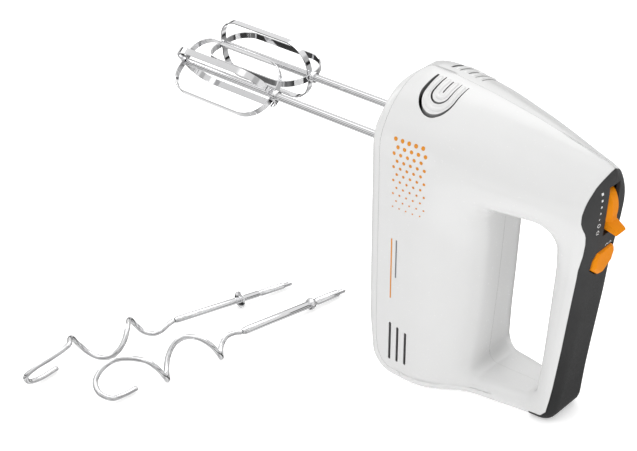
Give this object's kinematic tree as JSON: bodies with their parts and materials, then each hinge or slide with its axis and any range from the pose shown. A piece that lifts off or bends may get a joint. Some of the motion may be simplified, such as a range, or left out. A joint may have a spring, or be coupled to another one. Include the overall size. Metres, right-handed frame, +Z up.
{
  "type": "hand mixer",
  "caption": "Corded electric hand mixer standing on its heel, loop handle with slide lever and boost button, two wire-band beaters and a pair of spiral dough hooks.",
  "frame": {"origin": "centre line of the mixer on the flat face of its heel, which stands on the table", "axes": "-X towards the beaters, +X the back of the handle, +Z up towards the nose, -Y the left housing half"},
  "size_m": [0.3067, 0.23, 0.189],
  "materials": {
    "white": "glossy",
    "charcoal": "satin",
    "orange": "satin",
    "chrome": "polished",
    "steel": "satin",
    "copper": "enamelled wire",
    "brass": "satin",
    "nylon": "satin",
    "black": "matt",
    "iron": "laminated",
    "board": "satin",
    "carbon": "matt",
    "bronze": "sintered"
  },
  "bodies": {
    "housing": {"left_housing_shell": "white", "right_housing_shell": "white", "housing_screw_1": "steel", "housing_screw_2": "steel", "housing_screw_3": "steel", "housing_screw_4": "steel", "beater_side_cover": "white", "handle_grip_cover": "charcoal", "pivot_pin": "steel", "lever_bracket": "black", "crank_stud": "steel", "gearbox_frame": "iron", "upper_motor_bearing": "bronze", "left_front_bush": "bronze", "left_rear_bush": "bronze", "right_front_bush": "bronze", "right_rear_bush": "bronze", "field_stator": "iron", "field_coil_left": "copper", "field_coil_right": "copper", "brush_bracket": "black", "carbon_brush_left": "carbon", "brush_holder_left": "brass", "carbon_brush_right": "carbon", "brush_holder_right": "brass", "heel_bearing_plate": "black", "lower_motor_bearing": "bronze", "speed_switch_board": "board", "turbo_switch": "black", "cord_gland": "black"},
    "armature": {"armature_shaft": "steel", "worm": "brass", "armature_core": "iron", "armature_winding_upper": "copper", "armature_winding_lower": "copper", "commutator": "copper", "cooling_fan": "black"},
    "left_spindle_body": {"left_worm_wheel": "nylon", "left_spindle": "steel"},
    "right_spindle_body": {"right_worm_wheel": "nylon", "right_spindle": "steel"},
    "left_beater": {"left_beater_loop_a": "chrome", "left_beater_loop_b": "chrome", "left_beater_shaft": "chrome", "left_beater_hub": "chrome"},
    "right_beater": {"right_beater_loop_a": "chrome", "right_beater_loop_b": "chrome", "right_beater_shaft": "chrome", "right_beater_hub": "chrome"},
    "ejector_plate_body": {"ejector_plate": "nylon"},
    "eject_rocker_body": {"eject_rocker": "steel"},
    "eject_crank_body": {"eject_crank": "nylon"},
    "speed_lever_body": {"speed_lever": "orange"},
    "turbo_button_body": {"turbo_button": "orange"},
    "hook_a": {"hook_a_shaft": "chrome", "hook_a_wire": "chrome", "hook_a_collar": "chrome"},
    "hook_b": {"hook_b_shaft": "chrome", "hook_b_wire": "chrome", "hook_b_lug": "chrome"}
  },
  "joints": [
    {"name": "armature_spin", "type": "hinge", "parent": "housing", "child": "armature", "pos_m": [-0.041, 0, 0.08], "axis": [0, 0, 1], "continuous": true},
    {"name": "left_spindle_spin", "type": "hinge", "parent": "housing", "child": "left_spindle_body", "pos_m": [-0.04, -0.0172, 0.1435], "axis": [1, 0, 0], "continuous": true},
    {"name": "right_spindle_spin", "type": "hinge", "parent": "housing", "child": "right_spindle_body", "pos_m": [-0.04, 0.0172, 0.1435], "axis": [1, 0, 0], "continuous": true},
    {"name": "ejector_plate_slide", "type": "slide", "parent": "housing", "child": "ejector_plate_body", "axis": [-1, 0, 0], "range_m": [0, 0.0065], "stiffness_N_per_m": 500, "springref_m": -0.003},
    {"name": "left_beater_eject", "type": "slide", "parent": "left_spindle_body", "child": "left_beater", "axis": [-1, 0, 0], "range_m": [0, 0.0065]},
    {"name": "right_beater_eject", "type": "slide", "parent": "right_spindle_body", "child": "right_beater", "axis": [-1, 0, 0], "range_m": [0, 0.0065]},
    {"name": "eject_rocker_turn", "type": "hinge", "parent": "housing", "child": "eject_rocker_body", "pos_m": [0.045, 0, 0.143], "axis": [0, -1, 0], "range_deg": [-8.01, 0]},
    {"name": "eject_crank_turn", "type": "hinge", "parent": "housing", "child": "eject_crank_body", "pos_m": [0.012, 0, 0.143], "axis": [0, -1, 0], "range_deg": [0, 32.01]},
    {"name": "speed_lever_turn", "type": "hinge", "parent": "eject_rocker_body", "child": "speed_lever_body", "pos_m": [0.045, 0, 0.143], "axis": [0, -1, 0], "range_deg": [0, 35]},
    {"name": "turbo_button_press", "type": "slide", "parent": "housing", "child": "turbo_button_body", "axis": [-1, 0, 0], "range_m": [0, 0.002], "stiffness_N_per_m": 400, "springref_m": -0.002},
    {"name": "hook_a_lift", "type": "slide", "parent": "housing", "child": "hook_a", "axis": [0, -0.766, 0.6428], "range_m": [0, 0.2]},
    {"name": "hook_b_lift", "type": "slide", "parent": "housing", "child": "hook_b", "axis": [0, -0.766, 0.6428], "range_m": [0, 0.2]}
  ],
  "couplings": [
    {"joint": "left_spindle_spin", "follows": "armature_spin", "ratio": 0.045455},
    {"joint": "right_spindle_spin", "follows": "armature_spin", "ratio": -0.045455},
    {"joint": "left_beater_eject", "follows": "ejector_plate_slide", "ratio": 1},
    {"joint": "right_beater_eject", "follows": "ejector_plate_slide", "ratio": 1},
    {"joint": "eject_rocker_turn", "follows": "ejector_plate_slide", "rad_per_m": -21.482},
    {"joint": "eject_crank_turn", "follows": "ejector_plate_slide", "rad_per_m": 85.928}
  ]
}
